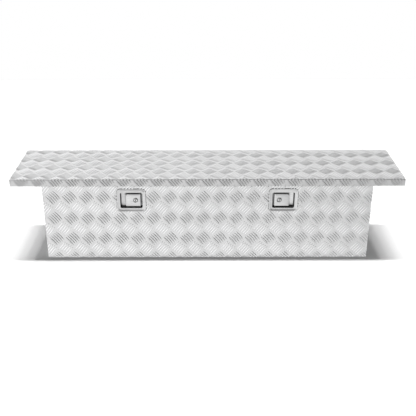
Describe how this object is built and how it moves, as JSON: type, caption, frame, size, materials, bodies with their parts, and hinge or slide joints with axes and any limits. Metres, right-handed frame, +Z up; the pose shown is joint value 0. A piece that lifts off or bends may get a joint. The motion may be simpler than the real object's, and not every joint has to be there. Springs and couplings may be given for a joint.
{
  "type": "truck bed tool box",
  "caption": "Low crossover tool box for a pickup bed: tread plate tub hung on wing trays, flat overhanging hinged lid, recessed paddle latches with key plugs, gas struts.",
  "frame": {"origin": "centre of the bounding box's bottom face, level with the underside of the tub's floor", "axes": "+X along the length to the right as seen from the front, +Y from the front with the latches to the rear with the hinge, +Z up"},
  "size_m": [1.778, 0.3903, 0.4],
  "materials": {
    "tread_aluminium": "bright mill finish tread plate",
    "mill_aluminium": "mill finish",
    "hinge_metal": "satin",
    "stainless": "pressed and lightly polished stainless steel",
    "key_chrome": "polished",
    "zinc_steel": "zinc plated",
    "polished_rod": "ground and polished",
    "black_steel": "semi-gloss black",
    "rubber": "matte"
  },
  "bodies": {
    "tub": {"tub_shell": "tread_aluminium", "tub_end_left": "tread_aluminium", "tub_end_right": "tread_aluminium", "weather_seal": "rubber", "hinge_tub_leaf": "hinge_metal", "hinge_pin": "zinc_steel", "latch_dish_left": "stainless", "latch_gasket_left": "rubber", "latch_clamp_left": "zinc_steel", "latch_nut_1_left": "zinc_steel", "latch_nut_2_left": "zinc_steel", "latch_nut_3_left": "zinc_steel", "latch_nut_4_left": "zinc_steel", "paddle_pin_left": "zinc_steel", "latch_housing_left": "zinc_steel", "tongue_spring_left": "zinc_steel", "strut_tub_bracket_left": "zinc_steel", "latch_dish_right": "stainless", "latch_gasket_right": "rubber", "latch_clamp_right": "zinc_steel", "latch_nut_1_right": "zinc_steel", "latch_nut_2_right": "zinc_steel", "latch_nut_3_right": "zinc_steel", "latch_nut_4_right": "zinc_steel", "paddle_pin_right": "zinc_steel", "latch_housing_right": "zinc_steel", "tongue_spring_right": "zinc_steel", "strut_tub_bracket_right": "zinc_steel"},
    "lid": {"lid_shell": "tread_aluminium", "lid_stiffener": "mill_aluminium", "hinge_lid_leaf": "hinge_metal", "striker_left": "zinc_steel", "strut_lid_bracket_left": "zinc_steel", "striker_right": "zinc_steel", "strut_lid_bracket_right": "zinc_steel"},
    "paddle_left": {"paddle_left": "stainless"},
    "key_left": {"key_cylinder_left": "key_chrome", "lock_cam_left": "zinc_steel"},
    "tongue_left": {"latch_tongue_left": "zinc_steel"},
    "strut_cylinder_left": {"strut_cylinder_left": "black_steel"},
    "strut_rod_left": {"strut_rod_left": "polished_rod"},
    "paddle_right": {"paddle_right": "stainless"},
    "key_right": {"key_cylinder_right": "key_chrome", "lock_cam_right": "zinc_steel"},
    "tongue_right": {"latch_tongue_right": "zinc_steel"},
    "strut_cylinder_right": {"strut_cylinder_right": "black_steel"},
    "strut_rod_right": {"strut_rod_right": "polished_rod"}
  },
  "joints": [
    {"name": "lid_hinge", "type": "hinge", "parent": "tub", "child": "lid", "pos_m": [0, 0.19065, 0.367], "axis": [-1, 0, 0], "range_deg": [0, 75]},
    {"name": "paddle_left_pull", "type": "hinge", "parent": "tub", "child": "paddle_left", "pos_m": [-0.308, -0.17715, 0.294], "axis": [0, 0, 1], "range_deg": [0, 30], "stiffness_Nm_per_rad": 0.6},
    {"name": "tongue_left_slide", "type": "slide", "parent": "tub", "child": "tongue_left", "axis": [-1, 0, 0], "range_m": [0, 0.00995], "deforming": ["tongue_spring_left"]},
    {"name": "key_left_turn", "type": "hinge", "parent": "paddle_left", "child": "key_left", "pos_m": [-0.327, -0.18, 0.294], "axis": [0, 1, 0], "range_deg": [0, 90]},
    {"name": "strut_left_foot", "type": "hinge", "parent": "tub", "child": "strut_cylinder_left", "pos_m": [-0.715, 0.125, 0.175], "axis": [-1, 0, 0], "range_deg": [0, 37.6]},
    {"name": "strut_left_head", "type": "hinge", "parent": "lid", "child": "strut_rod_left", "pos_m": [-0.715, -0.01196, 0.378], "axis": [-1, 0, 0], "range_deg": [-37.6, 0]},
    {"name": "paddle_right_pull", "type": "hinge", "parent": "tub", "child": "paddle_right", "pos_m": [0.308, -0.17715, 0.294], "axis": [0, 0, -1], "range_deg": [0, 30], "stiffness_Nm_per_rad": 0.6},
    {"name": "tongue_right_slide", "type": "slide", "parent": "tub", "child": "tongue_right", "axis": [1, 0, 0], "range_m": [0, 0.00995], "deforming": ["tongue_spring_right"]},
    {"name": "key_right_turn", "type": "hinge", "parent": "paddle_right", "child": "key_right", "pos_m": [0.327, -0.18, 0.294], "axis": [0, -1, 0], "range_deg": [0, 90]},
    {"name": "strut_right_foot", "type": "hinge", "parent": "tub", "child": "strut_cylinder_right", "pos_m": [0.715, 0.125, 0.175], "axis": [-1, 0, 0], "range_deg": [0, 37.6]},
    {"name": "strut_right_head", "type": "hinge", "parent": "lid", "child": "strut_rod_right", "pos_m": [0.715, -0.01196, 0.378], "axis": [-1, 0, 0], "range_deg": [-37.6, 0]}
  ],
  "couplings": [
    {"joint": "tongue_left_slide", "follows": "paddle_left_pull", "m_per_rad": 0.019},
    {"joint": "strut_left_foot", "follows": "lid_hinge", "ratio": 0.5},
    {"joint": "strut_left_head", "follows": "lid_hinge", "ratio": -0.5},
    {"joint": "tongue_right_slide", "follows": "paddle_right_pull", "m_per_rad": 0.019},
    {"joint": "strut_right_foot", "follows": "lid_hinge", "ratio": 0.5},
    {"joint": "strut_right_head", "follows": "lid_hinge", "ratio": -0.5}
  ]
}
